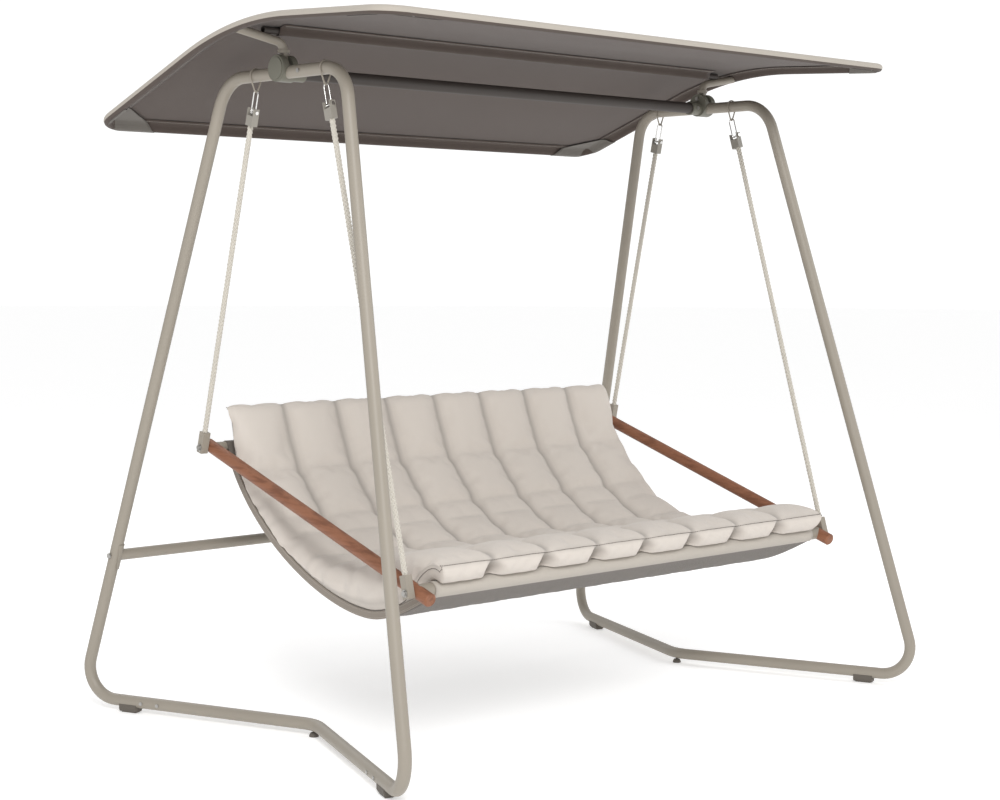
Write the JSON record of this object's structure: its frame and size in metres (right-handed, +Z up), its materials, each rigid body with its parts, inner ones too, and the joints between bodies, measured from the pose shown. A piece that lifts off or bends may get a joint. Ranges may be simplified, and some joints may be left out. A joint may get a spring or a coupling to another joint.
{
  "type": "canopy swing bench",
  "caption": "Garden canopy swing bench with a bent tube frame, tilting fabric canopy and a quilted bucket seat hung on ropes.",
  "frame": {"origin": "on the floor, midway between the four feet", "axes": "+X across the bench to the sitter's left, -Y to the open front of the seat, +Z up"},
  "size_m": [2.3096, 1.6482, 2.1655],
  "materials": {
    "frame_paint": "fine textured powder coat in taupe",
    "steel_hardware": "dull zinc-plated screws",
    "bright_steel": "polished wire and bolts",
    "fork_paint": "satin grey-taupe coat",
    "beam_paint": "fine textured powder coat in dark brown",
    "hub_cast": "satin dark grey-green coat on a cast hub",
    "foot_plastic": "moulded grey-brown",
    "teak": "oiled hardwood with fine grain",
    "rope": "braided off-white rope",
    "canopy_cloth": "woven taupe canopy cloth",
    "pocket_cloth": "woven grey reinforcing cloth",
    "sling_cloth": "woven taupe sling cloth",
    "cushion_cloth": "sewn and quilted off-white cloth"
  },
  "bodies": {
    "frame": {"front_leg_left": "frame_paint", "front_leg_right": "frame_paint", "rear_leg_left": "frame_paint", "rear_leg_right": "frame_paint", "base_rail_left": "frame_paint", "base_rail_right": "frame_paint", "rail_screws": "steel_hardware", "end_feet": "foot_plastic", "mid_feet": "foot_plastic", "crossbar": "frame_paint", "crossbar_saddles": "frame_paint", "crossbar_bolts": "steel_hardware", "hub_left": "hub_cast", "hub_right": "hub_cast", "hub_caps": "hub_cast", "top_joint_screws": "steel_hardware", "beam": "beam_paint", "beam_screws": "steel_hardware", "hanger_loops": "frame_paint", "tilt_bolts": "steel_hardware"},
    "canopy": {"canopy_post_left": "frame_paint", "canopy_post_right": "frame_paint", "ridge_tube": "frame_paint", "bow_left": "frame_paint", "bow_right": "frame_paint", "canopy_front_tube": "frame_paint", "canopy_rear_tube": "frame_paint", "canopy_screws": "steel_hardware", "canopy_fabric": "canopy_cloth", "canopy_hem": "canopy_cloth", "corner_pockets": "pocket_cloth"},
    "seat": {"side_bar_left": "teak", "side_bar_right": "teak", "front_crosstube": "frame_paint", "rear_crosstube": "frame_paint", "crosstube_plugs": "foot_plastic", "pivot_bolts": "steel_hardware", "sling": "sling_cloth", "sling_bindings": "sling_cloth", "cushion": "cushion_cloth"},
    "hanger_front_left": {"bail_front_left": "bright_steel", "fork_front_left": "fork_paint", "fork_bolt_front_left": "bright_steel", "rope_front_left": "rope", "bracket_front_left": "fork_paint"},
    "hanger_rear_left": {"bail_rear_left": "bright_steel", "fork_rear_left": "fork_paint", "fork_bolt_rear_left": "bright_steel", "rope_rear_left": "rope", "bracket_rear_left": "fork_paint"},
    "hanger_front_right": {"bail_front_right": "bright_steel", "fork_front_right": "fork_paint", "fork_bolt_front_right": "bright_steel", "rope_front_right": "rope", "bracket_front_right": "fork_paint"},
    "hanger_rear_right": {"bail_rear_right": "bright_steel", "fork_rear_right": "fork_paint", "fork_bolt_rear_right": "bright_steel", "rope_rear_right": "rope", "bracket_rear_right": "fork_paint"}
  },
  "joints": [
    {"name": "canopy_tilt", "type": "hinge", "parent": "frame", "child": "canopy", "pos_m": [0, 0, 2.054], "axis": [1, 0, 0], "range_deg": [-3, 16]},
    {"name": "seat_swing", "type": "hinge", "parent": "frame", "child": "seat", "pos_m": [0, 0.01241, 2.62872], "axis": [0.9985, 0.054, 0.0094], "range_deg": [-6, 6]},
    {"name": "hanger_swing_front_left", "type": "hinge", "parent": "frame", "child": "hanger_front_left", "pos_m": [-0.935, -0.206, 1.97], "axis": [0.9985, 0.054, 0.0094], "range_deg": [-9, 9]},
    {"name": "hanger_swing_rear_left", "type": "hinge", "parent": "frame", "child": "hanger_rear_left", "pos_m": [-0.935, 0.14, 1.97], "axis": [0.9985, 0.054, 0.0094], "range_deg": [-9.8, 9.8]},
    {"name": "hanger_swing_front_right", "type": "hinge", "parent": "frame", "child": "hanger_front_right", "pos_m": [0.935, -0.14, 1.97], "axis": [0.9985, 0.054, 0.0094], "range_deg": [-9, 9]},
    {"name": "hanger_swing_rear_right", "type": "hinge", "parent": "frame", "child": "hanger_rear_right", "pos_m": [0.935, 0.206, 1.97], "axis": [0.9985, 0.054, 0.0094], "range_deg": [-9.8, 9.8]}
  ],
  "couplings": [
    {"joint": "hanger_swing_front_left", "follows": "seat_swing", "ratio": 1.4523},
    {"joint": "hanger_swing_rear_left", "follows": "seat_swing", "ratio": 1.59},
    {"joint": "hanger_swing_front_right", "follows": "seat_swing", "ratio": 1.4645},
    {"joint": "hanger_swing_rear_right", "follows": "seat_swing", "ratio": 1.6059}
  ]
}
